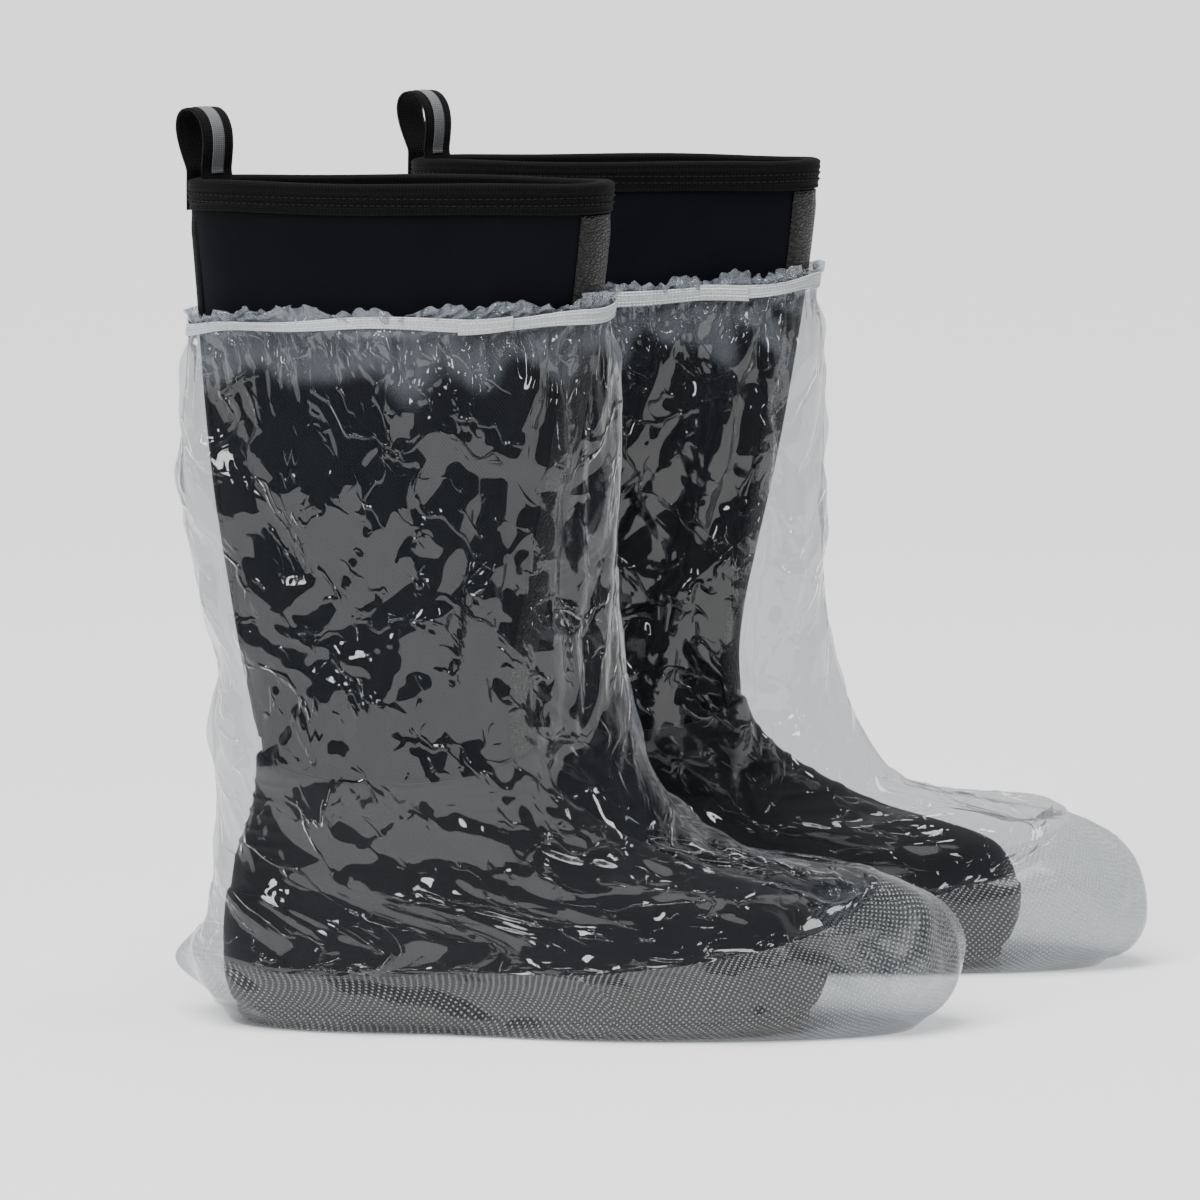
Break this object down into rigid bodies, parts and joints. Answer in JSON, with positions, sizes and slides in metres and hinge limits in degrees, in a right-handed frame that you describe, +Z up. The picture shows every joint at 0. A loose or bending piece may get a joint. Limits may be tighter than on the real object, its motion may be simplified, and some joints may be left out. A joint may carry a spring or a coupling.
{
  "type": "pair of neoprene boots in clear boot covers",
  "caption": "Pair of tall black neoprene pull-on boots with rubber feet and webbing pull loops, each standing in a clear film boot cover with an elastic top and a textured sole.",
  "frame": {"origin": "on the floor, below the middle of the pair's outline", "axes": "+X towards the toes, +Y towards the wearer's left, +Z up"},
  "size_m": [0.46, 0.3076, 0.4346],
  "materials": {
    "tread_rubber": "matte",
    "midsole_foam": "matte",
    "shank_steel": "brushed",
    "fibre_board": "matte",
    "footbed_foam": "knit faced",
    "boot_rubber": "semi-matte",
    "neoprene": "knit faced foam",
    "lining_knit": "brushed knit",
    "shin_tape": "embossed",
    "seam_tape": "woven",
    "binding_tape": "ribbed stretch tape",
    "webbing": "woven",
    "reflective_yarn": "reflective weave",
    "clear_film": "clear, glossy",
    "embossed_film": "embossed, milky",
    "knit_elastic": "knitted elastic"
  },
  "bodies": {
    "right_cover": {"right_cover_outer_panel": "clear_film", "right_cover_inner_panel": "clear_film", "right_cover_sole": "embossed_film", "right_cover_elastic": "knit_elastic"},
    "right_boot": {"right_outsole": "tread_rubber", "right_midsole": "midsole_foam", "right_shank": "shank_steel", "right_insole_board": "fibre_board", "right_rubber_lower": "boot_rubber", "right_toe_bumper": "boot_rubber", "right_heel_counter": "boot_rubber", "right_neoprene_foot": "neoprene", "right_neoprene_shaft": "neoprene", "right_lining": "lining_knit", "right_shin_strip": "shin_tape", "right_back_strip": "seam_tape", "right_top_binding": "binding_tape", "right_loop_tab": "webbing"},
    "right_footbed": {"right_footbed": "footbed_foam"},
    "right_loop": {"right_pull_loop": "webbing", "right_reflective_stripe": "reflective_yarn"},
    "left_cover": {"left_cover_outer_panel": "clear_film", "left_cover_inner_panel": "clear_film", "left_cover_sole": "embossed_film", "left_cover_elastic": "knit_elastic"},
    "left_boot": {"left_outsole": "tread_rubber", "left_midsole": "midsole_foam", "left_shank": "shank_steel", "left_insole_board": "fibre_board", "left_rubber_lower": "boot_rubber", "left_toe_bumper": "boot_rubber", "left_heel_counter": "boot_rubber", "left_neoprene_foot": "neoprene", "left_neoprene_shaft": "neoprene", "left_lining": "lining_knit", "left_shin_strip": "shin_tape", "left_back_strip": "seam_tape", "left_top_binding": "binding_tape", "left_loop_tab": "webbing"},
    "left_footbed": {"left_footbed": "footbed_foam"},
    "left_loop": {"left_pull_loop": "webbing", "left_reflective_stripe": "reflective_yarn"}
  },
  "joints": [
    {"name": "right_boot_lift", "type": "slide", "parent": "right_cover", "child": "right_boot", "axis": [0, 0, 1], "range_m": [0, 0.45], "deforming": ["right_cover_outer_panel", "right_cover_inner_panel", "right_cover_elastic"]},
    {"name": "left_pair_shift", "type": "slide", "parent": "right_cover", "child": "left_cover", "axis": [0, 1, 0], "range_m": [0, 0.15]},
    {"name": "left_boot_lift", "type": "slide", "parent": "left_cover", "child": "left_boot", "axis": [0, 0, 1], "range_m": [0, 0.45], "deforming": ["left_cover_outer_panel", "left_cover_inner_panel", "left_cover_elastic"]},
    {"name": "right_footbed_lift", "type": "hinge", "parent": "right_boot", "child": "right_footbed", "pos_m": [0.06979, -0.09632, 0.022], "axis": [0.0454, 0.999, 0], "range_deg": [0, 6]},
    {"name": "right_loop_fold", "type": "hinge", "parent": "right_boot", "child": "right_loop", "pos_m": [-0.21698, -0.07684, 0.4025], "axis": [-0.6279, -0.7783, 0], "range_deg": [0, 75], "stiffness_Nm_per_rad": 0.02},
    {"name": "left_footbed_lift", "type": "hinge", "parent": "left_boot", "child": "left_footbed", "pos_m": [0.15379, 0.09632, 0.022], "axis": [-0.0454, 0.999, 0], "range_deg": [0, 6]},
    {"name": "left_loop_fold", "type": "hinge", "parent": "left_boot", "child": "left_loop", "pos_m": [-0.13415, 0.1025, 0.4025], "axis": [-0.5548, -0.832, 0], "range_deg": [0, 75], "stiffness_Nm_per_rad": 0.02}
  ]
}
